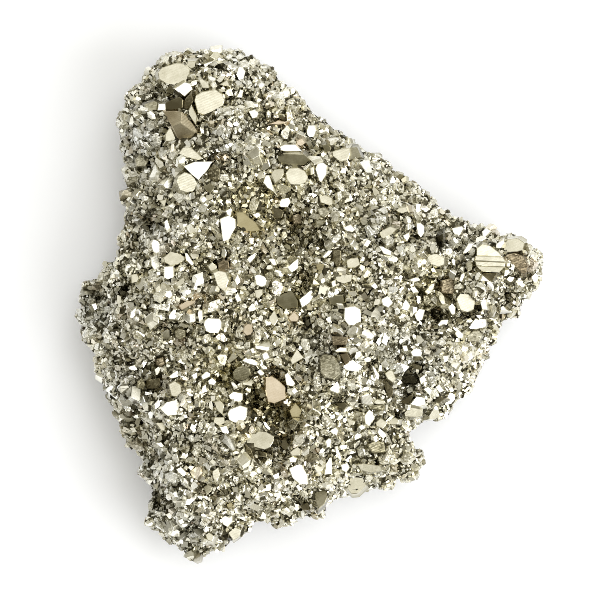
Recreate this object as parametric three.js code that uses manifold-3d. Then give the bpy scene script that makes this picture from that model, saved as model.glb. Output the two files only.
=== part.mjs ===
// A cluster of intergrown pyrite crystals, grown as one piece: the broken matrix underneath, crystals
// crowded along the rim and over the top, and the larger crystals that stand out of them.
// Millimetres, +Z up. The origin is under the middle of the cluster, on the surface it rests on.
import * as THREE from "three";
import { ConvexGeometry } from "three/addons/geometries/ConvexGeometry.js";
import { mergeVertices } from "three/addons/utils/BufferGeometryUtils.js";
import Module from "manifold-3d";

const wasm = await Module();
wasm.setup();

// ---- driving dimensions -------------------------------------------------------------------------

const RIM_TOP = 13.5; // height of the druse along the rim
const CROWN = 23; // height of the druse inland, before swells and hollows
const SHOULDER = 13; // distance in from the rim over which the druse rises to the crown
const LEAN = -0.06; // rise per millimetre along X: the pointed end lies lower
const SKIN = 1.6; // how far the matrix stays below the druse that covers it
const KNOB_RISE = 8.6; // height of the middle of the rim knobs
const KNOB_WIDTH = 2.1; // width of a rim knob against the radius that the outline gives it
const BURIED = 0.22; // share of a crystal's width by which its middle sits below the druse
const FILL_SPACING = 7.6; // least distance between the crystals that fill the top
const FILL_WIDTH = [6, 7.8]; // their widths
const FILL_TRIES = 1500; // how often a place for one more is looked for
const FUSE = 0.2; // surface detail finer than this fuses into its neighbours
const SEED = 20;

// The foot and wall of the matrix: [share of the way out to the rim, height]. The first is the flat foot.
const FOOT = [[0.84, 0], [0.92, 1.6], [0.98, 6]];
// Where its rings run over the top, as shares of the way out to the rim.
const OVER_TOP = [0.93, 0.76, 0.58, 0.4, 0.2];

// Knobs along the rim, clockwise from the top: [x, y, radius]. Their outer arcs are the outline.
const RIM = [
  [-21.2, 41.4, 3.6], [-16.6, 41.0, 3.6], [-12.2, 40.8, 3.6], [-9.2, 38.9, 3.7], [-5.6, 36.2, 3.2],
  [-2.2, 33.7, 2.8], [0.6, 31.4, 2.5], [3.6, 29.4, 2.5], [6.6, 27.3, 2.5], [10.0, 24.9, 2.5],
  [12.9, 22.6, 2.6], [16.6, 19.7, 2.6], [20.0, 17.5, 2.5], [23.4, 14.8, 2.5], [26.9, 12.9, 2.4],
  [31.0, 11.5, 2.5], [35.2, 9.4, 3.0], [38.0, 7.6, 3.3], [37.0, 4.2, 3.3], [34.8, 0.8, 3.0],
  [32.2, -2.0, 2.5], [30.2, -5.6, 2.4], [28.8, -9.4, 2.7], [27.2, -12.2, 2.8], [24.8, -14.8, 2.8],
  [21.8, -17.4, 3.0], [18.4, -18.9, 2.6], [15.4, -22.4, 2.4], [16.8, -27.4, 3.3], [12.6, -29.4, 3.0],
  [8.0, -31.0, 2.6], [4.0, -32.0, 2.7], [0.2, -34.2, 3.4], [-5.0, -35.8, 3.4], [-9.6, -35.4, 2.9],
  [-13.2, -38.2, 3.2], [-16.4, -40.3, 3.0], [-19.6, -41.7, 3.2], [-23.2, -39.4, 3.0], [-25.7, -37.2, 3.0],
  [-25.4, -32.8, 2.7], [-26.8, -28.4, 3.0], [-30.0, -22.8, 3.0], [-32.2, -18.2, 2.6], [-33.6, -13.8, 3.0],
  [-35.2, -9.6, 2.8], [-36.6, -5.8, 3.1], [-38.2, -2.6, 2.8], [-37.6, 1.6, 3.0], [-34.2, 5.6, 2.4],
  [-31.4, 10.4, 2.7], [-30.4, 14.2, 2.6], [-30.1, 18.2, 2.8], [-29.9, 22.2, 2.9], [-29.9, 26.6, 3.1],
  [-30.2, 31.4, 3.3], [-29.6, 35.4, 3.2], [-27.0, 38.8, 2.8], [-24.4, 40.8, 3.3],
];

// Broad swells and hollows of the druse: [x, y, radius, rise]. A hollow has a negative rise.
const SWELLS = [
  [-20, 37, 9, 1.5], [-21, 22, 7, 2], [-25, 0, 8, 1.5], [-18, -22, 8, 2.5], [-21, -33, 7, 1.5],
  [6, 20, 8, 1.5], [15, 11, 6, 2.5], [8, -8, 9, 2], [31, 7, 6, 3], [24, -9, 5, 2],
  [2, -29, 7, 1.5], [14, -22, 6, 1.5], [-3, 12, 5.5, -4.5], [-8.5, -17, 4.5, -7], [-4, -20.5, 3.5, -4],
  [22, 0, 4.5, -6], [17.5, -12.5, 3.5, -5.5], [-28, -12.5, 4, -4.5], [-24, -8, 3, -2.5],
  [12.5, 14.8, 2.4, -3.5], [22.8, 12, 2.2, -4], [-19.5, 38.6, 2.4, -3], [-27, 14, 3.5, -3],
  [9.5, -26.5, 3, -2.5], [-20, -42, 2.2, -3], [-31, -24, 3, -2], [-16.5, 27, 3.2, -3], [-1, -3, 3, -3],
];

// The larger crystals: [x, y, width, tilt, heading, habit]. Tilt leans the upper face from level towards
// the heading, both in degrees, and the heading is counted anticlockwise from +X.
const LARGE = [
  [-23.8, 41.0, 6.4, 8, 80, "pyritohedron"], [-17.8, 36.0, 5.6, 4, 300, "pyritohedron"],
  [-22.6, 32.2, 6.0, 34, 250, "octahedron"], [-27.4, 32.4, 4.6, 30, 160, "pyritohedron"],
  [-23.0, 36.2, 4.4, 46, 215, "cube"], [-19.4, 23.8, 5.0, 24, 60, "octahedron"],
  [-21.8, 21.6, 4.2, 6, 200, "pyritohedron"], [-21.0, 26.8, 4.4, 12, 120, "cube"],
  [-2.8, 22.8, 5.0, 8, 95, "pyritohedron"], [-13.8, 14.0, 4.8, 20, 40, "cube"],
  [-24.0, 8.4, 4.2, 10, 190, "pyritohedron"], [-12.0, 33.6, 4.4, 26, 330, "cube"],
  [6.4, 26.0, 5.0, 14, 50, "cube"], [31.6, 8.0, 7.2, 16, 265, "cube"],
  [36.4, 9.0, 5.4, 24, 75, "pyritohedron"], [-17.2, -3.4, 3.8, 18, 45, "pyritohedron"],
  [-17.0, -7.4, 4.6, 32, 235, "octahedron"], [-12.0, -11.8, 4.8, 10, 320, "pyritohedron"],
  [-6.5, -14.8, 4.6, 30, 200, "cube"], [-12.8, -18.6, 4.2, 20, 50, "cube"],
  [-8.8, -23.2, 5.0, 14, 100, "pyritohedron"], [-24.4, -17.6, 4.6, 20, 45, "cube"],
  [-2.0, -29.0, 4.4, 20, 50, "cube"], [3.6, -10.8, 4.6, 5, 180, "pyritohedron"],
  [28.2, -4.6, 4.8, 12, 30, "cube"], [19.2, -16.8, 4.8, 16, 45, "cube"],
  [12.0, -24.4, 5.0, 32, 260, "octahedron"], [8.2, -30.6, 4.0, 20, 280, "cube"],
  [1.4, -33.6, 4.6, 36, 300, "pyritohedron"], [5.4, -6.2, 3.8, 28, 240, "cube"],
];

// ---- the lie of the druse -----------------------------------------------------------------------

// A repeatable stream of numbers between 0 and 1.
function seededRandom(seed) {
  let state = seed >>> 0;
  return () => {
    state = (state + 0x6d2b79f5) >>> 0;
    let t = Math.imul(state ^ (state >>> 15), 1 | state);
    t = (t + Math.imul(t ^ (t >>> 7), 61 | t)) ^ t;
    return ((t ^ (t >>> 14)) >>> 0) / 4294967296;
  };
}

const random = seededRandom(SEED);
const between = (low, high) => low + (high - low) * random();

const rimLine = RIM.map(([x, y]) => new THREE.Vector2(x, y));

// Distance from a point to the line through the middles of the rim knobs, positive inside it.
function inland(x, y) {
  const point = new THREE.Vector2(x, y);
  let nearest = Infinity;
  let inside = false;
  rimLine.forEach((a, i) => {
    const b = rimLine[(i + 1) % rimLine.length];
    const side = b.clone().sub(a);
    const share = THREE.MathUtils.clamp(point.clone().sub(a).dot(side) / side.lengthSq(), 0, 1);
    nearest = Math.min(nearest, point.distanceTo(a.clone().addScaledVector(side, share)));
    if (a.y > y !== b.y > y && x < a.x + ((y - a.y) / side.y) * side.x) inside = !inside;
  });
  return inside ? nearest : -nearest;
}

// Height of the druse over a point of the plan.
function druseHeight(x, y) {
  const share = THREE.MathUtils.smoothstep(inland(x, y), -SHOULDER / 3, SHOULDER);
  const swells = SWELLS.reduce(
    (sum, [sx, sy, radius, rise]) => sum + rise * Math.exp(-((x - sx) ** 2 + (y - sy) ** 2) / radius ** 2),
    0,
  );
  return RIM_TOP + (CROWN - RIM_TOP + LEAN * x + swells) * share;
}

// ---- crystals -----------------------------------------------------------------------------------

// A pyritohedron, the habit of twelve five-sided faces, standing on one of its edges.
function pyritohedron(width) {
  const slant = 0.5;
  const long = 1 + slant;
  const short = 1 - slant ** 2;
  const points = [];
  for (const a of [-1, 1])
    for (const b of [-1, 1]) {
      points.push(new THREE.Vector3(0, a * long, b * short));
      points.push(new THREE.Vector3(a * long, b * short, 0));
      points.push(new THREE.Vector3(a * short, 0, b * long));
      points.push(new THREE.Vector3(a, b, 1), new THREE.Vector3(a, b, -1));
    }
  return new ConvexGeometry(points.map((point) => point.multiplyScalar(width / (2 * long))));
}

// Each habit's shape, and the direction of the face that is turned up.
const HABITS = {
  cube: { make: (width) => new THREE.BoxGeometry(width, width * 0.86, width * 0.9), face: [0, 0, 1] },
  octahedron: { make: (width) => new THREE.OctahedronGeometry(width * 0.72), face: [1, 1, 1] },
  pyritohedron: { make: pyritohedron, face: [0, 1, 2] },
};

// A crystal with one face turned up, spun about that face and leaned by tilt towards heading.
function crystal([x, y, width, tilt, heading, habit]) {
  const { make, face } = HABITS[habit];
  const up = new THREE.Vector3(0, 0, 1)
    .applyAxisAngle(new THREE.Vector3(0, 1, 0), THREE.MathUtils.degToRad(tilt))
    .applyAxisAngle(new THREE.Vector3(0, 0, 1), THREE.MathUtils.degToRad(heading));
  const turn = new THREE.Quaternion().setFromUnitVectors(new THREE.Vector3(...face).normalize(), up);
  const spin = new THREE.Quaternion().setFromAxisAngle(up, between(0, Math.PI / 2));
  return make(width)
    .applyQuaternion(spin.multiply(turn))
    .translate(x, y, druseHeight(x, y) - width * BURIED);
}

// A crystal of any habit, leaned any way.
function anyCrystal(x, y, width) {
  const habit = ["cube", "pyritohedron", "cube", "octahedron"][Math.floor(random() * 4)];
  return crystal([x, y, width, between(5, 50), between(0, 360), habit]);
}

// A knob of the rim: a pyritohedron about as wide as it is high, turned any way.
function knob([x, y, radius]) {
  const turn = new THREE.Euler(between(0, Math.PI), between(0, Math.PI), between(0, Math.PI));
  return pyritohedron(radius * KNOB_WIDTH)
    .applyQuaternion(new THREE.Quaternion().setFromEuler(turn))
    .translate(x, y, KNOB_RISE + between(-1.2, 1.2));
}

// The crystal that stands on the inner side of a rim knob, at the edge of the top.
function crystalOver([x, y, radius]) {
  const share = 1 - (radius * 0.9) / Math.hypot(x, y);
  return anyCrystal(x * share, y * share, radius * between(1.6, 1.9));
}

// Places for the crystals that fill the top, none too close to another.
function fillPlaces() {
  const found = [];
  for (let i = 0; i < FILL_TRIES; i++) {
    const x = between(-38, 38);
    const y = between(-42, 42);
    const clear = found.every(([fx, fy]) => Math.hypot(fx - x, fy - y) > FILL_SPACING);
    if (clear && inland(x, y) > 2.5) found.push([x, y]);
  }
  return found;
}

// ---- the matrix ---------------------------------------------------------------------------------

// Rings that follow every second knob, from the flat foot up the wall and over the top to the middle.
function matrixRock() {
  const outline = rimLine.filter((place, i) => i % 2 === 0);
  const round = outline.length;
  const places = [new THREE.Vector3(0, 0, 0)];
  FOOT.forEach(([share, height], i) =>
    outline.forEach(({ x, y }) => {
      const out = share + (i ? between(-0.012, 0.012) : 0);
      places.push(new THREE.Vector3(x * out, y * out, height + (i ? between(-0.5, 0.5) : 0)));
    }),
  );
  OVER_TOP.forEach((share) =>
    outline.forEach(({ x, y }) =>
      places.push(new THREE.Vector3(x * share, y * share, druseHeight(x * share, y * share) - SKIN)),
    ),
  );
  places.push(new THREE.Vector3(0, 0, druseHeight(0, 0) - SKIN));

  const rings = FOOT.length + OVER_TOP.length;
  const last = places.length - 1;
  const faces = [];
  for (let i = 0; i < round; i++) {
    const next = (i + 1) % round;
    faces.push(0, 1 + i, 1 + next);
    for (let ring = 0; ring < rings - 1; ring++) {
      const low = 1 + ring * round;
      const high = low + round;
      faces.push(low + i, high + i, high + next, low + i, high + next, low + next);
    }
    faces.push(last, last - round + next, last - round + i);
  }
  return new THREE.BufferGeometry().setFromPoints(places).setIndex(faces);
}

// ---- the whole cluster --------------------------------------------------------------------------

// A closed geometry as a solid that can be joined to others.
function solidOf(geometry) {
  const bare = geometry.index ? geometry.toNonIndexed() : geometry.clone();
  bare.deleteAttribute("normal");
  bare.deleteAttribute("uv");
  const merged = mergeVertices(bare, 1e-4);
  const vertProperties = merged.attributes.position.array;
  const triVerts = new Uint32Array(merged.index.array);
  return new wasm.Manifold(new wasm.Mesh({ numProp: 3, vertProperties, triVerts }));
}

// A solid back as a geometry that can be drawn.
function geometryOf(solid) {
  const mesh = solid.getMesh();
  return new THREE.BufferGeometry()
    .setAttribute("position", new THREE.BufferAttribute(mesh.vertProperties, 3))
    .setIndex(new THREE.BufferAttribute(mesh.triVerts, 1));
}

// Everything joined into one solid, with the gaps that the crystals shut in between them filled.
function cluster() {
  const grown = [
    matrixRock(),
    ...RIM.map(knob),
    ...RIM.filter((place, i) => i % 3 === 1).map(crystalOver),
    ...fillPlaces().map(([x, y]) => anyCrystal(x, y, between(...FILL_WIDTH))),
    ...LARGE.map(crystal),
  ];
  const shells = wasm.Manifold.union(grown.map(solidOf)).simplify(FUSE).decompose();
  return shells.reduce((outer, shell) => (shell.volume() > outer.volume() ? shell : outer));
}

const pyrite = new THREE.MeshStandardMaterial({ color: 0xc4bd9c, roughness: 0.25, metalness: 1 });

const specimen = new THREE.Group();
const body = new THREE.Mesh(geometryOf(cluster()), pyrite);
body.name = "pyrite_cluster";
const middle = new THREE.Box3().setFromObject(body).getCenter(new THREE.Vector3());
body.position.set(-middle.x, -middle.y, 0);
specimen.add(body);

export default specimen;
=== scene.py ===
"""A pyrite specimen: a druse of small bright crystals grown over a lumpy mass, with larger crystals
standing out of it. Lengths are in metres, and MM turns millimetres into them."""
import math

import bpy
import numpy as np
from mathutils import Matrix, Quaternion, Vector, noise
from mathutils.bvhtree import BVHTree


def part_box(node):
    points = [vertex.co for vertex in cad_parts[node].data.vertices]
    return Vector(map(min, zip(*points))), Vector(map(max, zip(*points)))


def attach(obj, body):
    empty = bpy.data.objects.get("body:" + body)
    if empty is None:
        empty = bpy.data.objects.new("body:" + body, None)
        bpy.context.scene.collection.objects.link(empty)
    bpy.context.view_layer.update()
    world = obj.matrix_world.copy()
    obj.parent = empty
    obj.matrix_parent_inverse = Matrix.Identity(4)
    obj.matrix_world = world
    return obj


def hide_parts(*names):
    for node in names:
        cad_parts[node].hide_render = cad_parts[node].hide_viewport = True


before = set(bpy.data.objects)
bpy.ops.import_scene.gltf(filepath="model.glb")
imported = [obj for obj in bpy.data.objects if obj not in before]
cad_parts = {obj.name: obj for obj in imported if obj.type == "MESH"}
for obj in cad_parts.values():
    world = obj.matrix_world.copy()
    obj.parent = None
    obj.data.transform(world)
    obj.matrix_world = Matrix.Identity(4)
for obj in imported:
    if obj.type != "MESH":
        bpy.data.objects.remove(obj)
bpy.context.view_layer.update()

MM = 0.001
NODE = "pyrite_cluster"
BODY = "root"
NEARER = 0.987  # the larger crystals stand nearer the eye than the footprint that they are laid out on
WARMTHS = [  # golden (above 0) and silvery places of the druse: [x, y, reach, change]
    (-8, 18, 5, 1), (-16, -9, 4, 1), (-7, -18, 6, 1), (21, 4, 4, 1), (-2, 3, 5, 0.8), (-22, 32, 3, 0.6),
    (-5, 33, 3, 0.5), (-11, -25, 3, 0.7), (-30, 29, 5, -1), (-27, 14, 4, -0.8), (-38, -1, 5, -1),
    (-31, -14, 5, -0.8), (-28, -31, 6, -0.9), (-21, -40, 4, -0.6), (16, -10, 6, -0.9), (3, -8, 4, -0.6),
    (12, 12, 4, -0.6), (27, 9, 4, -0.6), (-15, 28, 4, -0.6), (-12, 42, 4, -0.3),
]
HOLLOWS = [  # [x, y, reach, depth], in millimetres, from the middle of the footprint
    (-10, -16, 1.8, 3), (-6, -18, 1.4, 2.2), (-15.6, -13.2, 1.3, 2), (-21, -20.8, 0.9, 1.8),
    (-20.9, -22.6, 0.9, 1.8), (-32.3, 3.2, 1.3, 2), (-26, -3.5, 1.1, 2), (-26.6, -33.6, 1.2, 2.2),
    (-26.9, -35.2, 1, 1.8), (-19.5, -37, 1, 2), (-21, -39, 1.3, 1.6), (-19.4, -42.8, 1.2, 1.8),
    (18.7, 2.9, 1, 2), (21.5, -1.7, 1.5, 2.2), (22.9, 11.4, 1.1, 2), (14.7, 15.1, 1.1, 2),
    (11.5, 11.6, 0.9, 2), (12.5, 13.9, 1, 1.8), (12.4, 4.9, 0.8, 1.4), (-0.9, -2, 1.2, 2),
    (-0.6, -3.6, 1, 1.6), (0.5, 16.2, 0.9, 1.8), (0.6, 13.4, 0.9, 1.6), (-2.8, 12, 1.3, 1.6),
    (-5.3, -25.9, 0.9, 1.6), (11, -9.9, 0.9, 1.6), (14.5, -9.6, 0.9, 1.6), (8.4, -26.9, 1, 1.6),
    (-8, 9.8, 1.1, 1.4), (-24.3, 37.3, 1.2, 1.6), (3.4, 25.6, 1, 1.6), (-19.2, 31.5, 1, 1.6),
    (10.4, -4, 0.9, 1.6), (32.7, -1.6, 1, 1.6), (33.3, 2.2, 0.9, 1.6), (-11.3, -35.4, 1, 1.4),
    (-28, 14.5, 1.3, 1.4), (-35.5, -15, 1.2, 1.4), (5.7, -15.8, 1, 1.6), (-5.5, 25.8, 1, 1.2),
    (20, 15.1, 0.9, 1.2), (28.8, 6.4, 0.8, 1.4), (-37.5, -1.3, 0.9, 1.4), (-33.2, -5.3, 0.9, 1.2),
    (-30, 20, 0.9, 1.2), (-9.4, -10.8, 0.9, 1.2), (2, 11, 1, 1.2),
]
PAINTED_LIGHT_AND_SHADE = [  # broad places where the druse is painted lighter (above 0) or darker, as painted light and shade: [x, y, reach, change]
    (-14, 40, 4, 0.3), (-3, 23, 3, 0.4), (6, 26, 3, 0.4), (14, 20, 3, 0.3), (13, 8, 4, 0.6), (-24, 9, 3, 0.4),
    (-14, 4, 3, 0.3), (-10, -3, 3, 0.3), (-24, -16, 3, 0.7), (-15, -18, 2, 0.4), (-10, -23, 2.5, 0.4),
    (6, -14, 3, 0.4), (11, -15, 3, 0.4), (22, -14, 4, 0.7), (28, -8, 4, 0.4), (-14, -29, 3, 0.4),
    (-11, -36, 4, 0.4), (-4, -32, 3, 0.5), (4, -30, 3, 0.5), (-24, -41, 3, 0.4), (38, 4, 4, 0.2),
    (19, -6, 2, 0.3), (-28, -7, 3, 0.3), (-28, 23, 3, 0.2), (16, -19, 3, 0.4), (0, -15, 2, 0.2),
    (-25, 37, 2.5, -0.4), (-17, 27, 2.5, -0.5), (-28, 14, 3.5, -0.5), (-7, 33, 3, -0.4), (2, 25, 2, -0.5),
    (-3, 15, 5, -0.5), (1, 11, 4, -0.5), (12, 14, 2, -0.5), (17, 20, 2, -0.3), (23, 12, 2, -0.6),
    (-33, 3, 2, -0.5), (-39, 0, 3, -0.4), (-20, 4, 2, -0.4), (22, 1, 3.5, -0.8), (22, -4, 2, -0.5),
    (-1, -3, 3, -0.5), (-28, -12, 3.5, -0.6), (-32, -22, 5, -0.4), (-14, -11, 3, -0.6), (-9, -16, 3, -0.6),
    (-5, -20, 4, -0.7), (-12, -25, 2, -0.3), (-20, -18, 2, -0.4), (3, -8, 3, -0.3), (17, -12, 2.5, -0.6),
    (7, -20, 2, -0.4), (11, -25, 3, -0.5), (-1, -26, 2, -0.5), (-19, -39, 2, -0.6), (-27, -34, 2.5, -0.6),
    (-19, -32, 2.5, -0.3), (34, 2, 2, -0.4), (-24, -4, 2, -0.2),
    (-29, 38, 3, 0.5), (-7, -29, 3, 0.5),
]
CLUMP = 3.9 * MM  # width of the rounded clumps that the druse makes
CLUMP_RISE = 1.6  # how far the clumps stand out, in millimetres
FOOT = 0.7 * MM  # height below which the mass is flattened, and the depth of the pits in its underside
BARE = 1.2 * MM  # height below which no druse grows
STEEP = 0.45  # upward part of the normal below which the ground counts as a wall
SHRUNK = 0.7  # width of a crystal on a wall, as a share of what it would be on level ground
SUNK, RAISED = -0.25, 0.25  # how far crystals stand into and out of the ground, as shares of their width
WALL_LEAN = 0.35  # how far crystals on a wall lean, in radians
SHINE_LEAN = 0.2  # how far, at most, the druse leans to shine in the places painted lighter
SHINE_HEADING = 0.73  # the heading that it leans towards there, in radians
FOOT_SHADE_DEPTH = 1.2  # depth below a crystal's top, in millimetres, over which painted shade darkens it
FOOT_SHADE = 0.45  # how much darker painted shade makes its foot
PIECE_CRYSTALS = 5000  # most crystals in one piece
GROWTHS = {
    # The grown crystals, largest first: how many places are tried; their least and greatest width, in
    # millimetres; how near their middles come to each other, as a share of the width; how far they lean, in
    # radians; their tint in the creases, what painted light adds on the tops of the clumps, leaving the
    # creases painted darker as shade, and how much it varies; the bevel of their edges; and the share that
    # grows away from the wider crystals, where they keep near those.
    "medium_crystals": {
        "tries": 12000, "sizes": (1.4, 2.8), "gap": 0.38, "lean": 0.4,
        "tints": (0.71, 0.3, 0.12), "bevel": 0.05, "elsewhere": 0.03,
    },
    "small_crystals": {
        "tries": 90000, "sizes": (0.9, 1.7), "gap": 0.31, "lean": 0.65,
        "tints": (0.56, 0.45, 0.17), "bevel": 0.0, "elsewhere": None,
    },
    "fine_crystals": {
        "tries": 120000, "sizes": (0.45, 0.9), "gap": 0.34, "lean": 1.0,
        "tints": (0.36, 0.55, 0.22), "bevel": 0.0, "elsewhere": None,
    },
}
random = np.random.default_rng(7)

low_corner, high_corner = (np.array(corner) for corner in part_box(NODE))
centre = (low_corner + high_corner) / 2


# ---- modelling helpers --------------------------------------------------------------------------

def only(piece):
    """Selects one piece and makes it active, with everything else deselected."""
    bpy.ops.object.select_all(action="DESELECT")
    piece.select_set(True)
    bpy.context.view_layer.objects.active = piece


def finish_with(piece, kind, **settings):
    """Adds a modifier to a piece and applies it."""
    only(piece)
    modifier = piece.modifiers.new(kind.title(), kind)
    for name, value in settings.items():
        setattr(modifier, name, value)
    bpy.ops.object.modifier_apply(modifier=modifier.name)


def points_of(mesh):
    """A mesh's vertices as an array of positions."""
    places = np.empty(len(mesh.vertices) * 3, np.float32)
    mesh.vertices.foreach_get("co", places)
    return places.reshape(-1, 3).astype(float)


def belongs(piece):
    """Makes a finished piece part of the specimen."""
    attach(piece, BODY)


# ---- the mass under the druse -------------------------------------------------------------------

def rock_mass():
    """The lumpy body that the crystals grow on, from a copy of the CAD solid."""
    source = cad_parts[NODE]
    mass = bpy.data.objects.new("rock_mass", source.data.copy())
    bpy.context.scene.collection.objects.link(mass)
    only(mass)
    bpy.ops.object.mode_set(mode="EDIT")
    bpy.ops.mesh.select_all(action="SELECT")
    bpy.ops.mesh.remove_doubles(threshold=0.01 * MM)
    bpy.ops.object.mode_set(mode="OBJECT")
    finish_with(mass, "REMESH", mode="VOXEL", voxel_size=0.75 * MM)
    finish_with(mass, "SMOOTH", factor=0.5, iterations=10)
    return mass


def amount_at(places, x, y):
    """The sum at x, y of the amounts laid down round places, each [x, y, reach, amount]."""
    return sum(
        amount * np.exp(-((x - cx) ** 2 + (y - cy) ** 2) / reach ** 2) for cx, cy, reach, amount in places
    )


def mound(place):
    """How high the rounded clumps of the druse stand at a place, from 0 in the creases between them
    to 1 on their tops."""
    near, next_near = noise.voronoi(Vector(place / CLUMP))[0][:2]
    return math.sqrt(min(1, (next_near - near) * 1.6))


def roughen(mass, perches):
    """Gives the mass its clumps, hollows and grit, and lets in the larger crystals."""
    places = points_of(mass.data)
    normals = np.empty(len(places) * 3, np.float32)
    mass.data.vertices.foreach_get("normal", normals)
    normals = normals.reshape(-1, 3)
    mounds = np.array([mound(place) for place in places]) - 0.75
    lumps = np.array([noise.noise(Vector(place / (2.6 * MM))) for place in places])
    grit = np.array([noise.noise(Vector(place / (0.9 * MM))) for place in places])
    places += normals * ((CLUMP_RISE * mounds + 0.25 * lumps + 0.2 * grit) * MM)[:, None]
    x, y = ((places - centre) / MM)[:, :2].T
    upper = np.clip(normals[:, 2], 0, 1)
    places[:, 2] -= amount_at(HOLLOWS, x, y) * upper * MM
    for perch in perches:
        near = (perch.beyond(x, y) < 0.1) & (normals[:, 2] > 0)
        places[near, 2] = np.minimum(places[near, 2], perch.level(x[near], y[near]) - 0.25 * MM)
    foot = places[:, 2] < FOOT
    pitted = np.clip(lumps + 0.6 * grit - 0.1, 0, 1) * FOOT
    places[foot, 2] = low_corner[2] + pitted[foot]
    mass.data.vertices.foreach_set("co", places.astype(np.float32).ravel())
    mass.data.update()
    only(mass)
    bpy.ops.object.shade_smooth()


# ---- crystals -----------------------------------------------------------------------------------

CUBE = [(1, 0, 0), (-1, 0, 0), (0, 1, 0), (0, -1, 0), (0, 0, 1), (0, 0, -1)]
OCTAHEDRON = [(a, b, c) for a in (-1, 1) for b in (-1, 1) for c in (-1, 1)]
PYRITOHEDRON = (
    [(0, a, 2 * b) for a in (-1, 1) for b in (-1, 1)]
    + [(2 * b, 0, a) for a in (-1, 1) for b in (-1, 1)]
    + [(a, 2 * b, 0) for a in (-1, 1) for b in (-1, 1)]
)
UP = (0, 0, 1)
DOWN = (0, 0, -1)


def sides(count, slope, wander=0.3):
    """Directions of the side faces of a crystal, which look up by slope, in radians."""
    start = random.uniform(0, 2 * math.pi)
    faces = []
    for i in range(count):
        heading = start + (i + random.uniform(-wander, wander)) * 2 * math.pi / count
        rise = slope + random.uniform(-0.1, 0.1)
        faces.append((
            math.cos(heading) * math.cos(rise),
            math.sin(heading) * math.cos(rise),
            math.sin(rise),
        ))
    return faces


def cut_crystal(cuts, up, rounding):
    """A crystal about one unit wide, cut from a cube by the planes of its faces, with the face that
    looks along up turned to +Z. cuts is [(directions, distance, how much the distance varies)]."""
    bpy.ops.object.select_all(action="DESELECT")
    bpy.ops.mesh.primitive_cube_add(size=1.3, location=(0, 0, 0))
    crystal = bpy.context.object
    bpy.ops.object.mode_set(mode="EDIT")
    for directions, distance, spread in cuts:
        for direction in directions:
            normal = Vector(direction).normalized()
            reach = distance * (1 + random.uniform(-spread, spread))
            bpy.ops.mesh.select_all(action="SELECT")
            bpy.ops.mesh.bisect(plane_co=normal * reach, plane_no=normal, use_fill=True, clear_outer=True)
    bpy.ops.mesh.select_all(action="SELECT")
    bpy.ops.mesh.remove_doubles(threshold=0.02)
    bpy.ops.mesh.normals_make_consistent(inside=False)
    bpy.ops.object.mode_set(mode="OBJECT")
    if rounding:
        finish_with(crystal, "BEVEL", width=rounding, segments=1, limit_method="ANGLE", angle_limit=0.3)
    turn = Vector(up).normalized().rotation_difference(Vector(UP))
    crystal.data.transform(turn.to_matrix().to_4x4())
    return Habit(crystal)


def plate(count, slope, rounding):
    """A flat-topped crystal with a given count of sides."""
    cuts = [([UP], 0.3, 0.05), ([DOWN], 0.5, 0), (sides(count, slope), 0.45, 0.2)]
    return cut_crystal(cuts, UP, rounding)


def roof(count, slope, lean, rounding):
    """A crystal whose top is two or three faces that lean apart."""
    cuts = [([DOWN], 0.5, 0), (sides(count, slope), 0.45, 0.12)]
    cuts.append((sides(random.integers(2, 4), math.pi / 2 - lean), 0.32, 0.1))
    return cut_crystal(cuts, UP, rounding)


def pyritohedron(rounding):
    """A crystal with twelve five-sided faces."""
    return cut_crystal([(PYRITOHEDRON, 0.44, 0.08)], (0, 1, 2), rounding)


def cube_corner(rounding):
    """A cube that stands on its corner, with the upper corner cut off."""
    return cut_crystal([(CUBE, 0.46, 0.1), (OCTAHEDRON, 0.45, 0.14)], (1, 1, 1), rounding)


class Habit:
    """The shape of one crystal as arrays, ready to be copied many times."""

    def __init__(self, crystal):
        mesh = crystal.data
        self.points = points_of(mesh)
        self.starts = np.array([face.loop_start for face in mesh.polygons])
        self.sizes = np.array([face.loop_total for face in mesh.polygons])
        self.corners = np.array([loop.vertex_index for loop in mesh.loops])
        self.facet = np.zeros((len(self.corners), 2))
        self.unwrap = np.zeros((len(self.corners), 2))
        for face in mesh.polygons:
            span = slice(face.loop_start, face.loop_start + face.loop_total)
            normal = face.normal
            side = normal.cross(Vector((0.31, 0.95, 0.05))).normalized()
            across = normal.cross(side)
            corners = self.points[self.corners[span]]
            self.facet[span] = corners @ np.array([side, across]).T
            if normal.z > -0.5:
                self.unwrap[span] = self.around(corners)
            else:
                self.unwrap[span] = self.around(np.array([[0.3, 0.3, -1.0]]))
        bpy.data.objects.remove(crystal)

    @staticmethod
    def around(corners):
        """Places on a disc for places round a crystal: the middle is its top, the edge its underside."""
        length = np.linalg.norm(corners, axis=1)
        fall = np.arccos(np.clip(corners[:, 2] / length, -1, 1)) / math.pi
        heading = np.arctan2(corners[:, 1], corners[:, 0])
        return 0.5 + 0.48 * fall[:, None] * np.stack([np.cos(heading), np.sin(heading)], axis=1)


def chip(rounding):
    """An irregular grain."""
    faces = [random.normal(0, 1, 3) for i in range(8)]
    return cut_crystal([(faces, 0.4, 0.2), (CUBE, 0.45, 0.1)], UP, rounding)


def druse_habits(rounding):
    """The mixed crystals that the druse is made of, with edges rounded by a share of their width."""
    return (
        [plate(count, slope, rounding) for count in (4, 5, 6) for slope in (0.2, 0.45)]
        + [roof(count, 0.1, 0.3, rounding) for count in (4, 5)]
        + [chip(rounding) for i in range(4)]
        + [pyritohedron(rounding), cube_corner(rounding), cube_corner(rounding)]
    )


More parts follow.
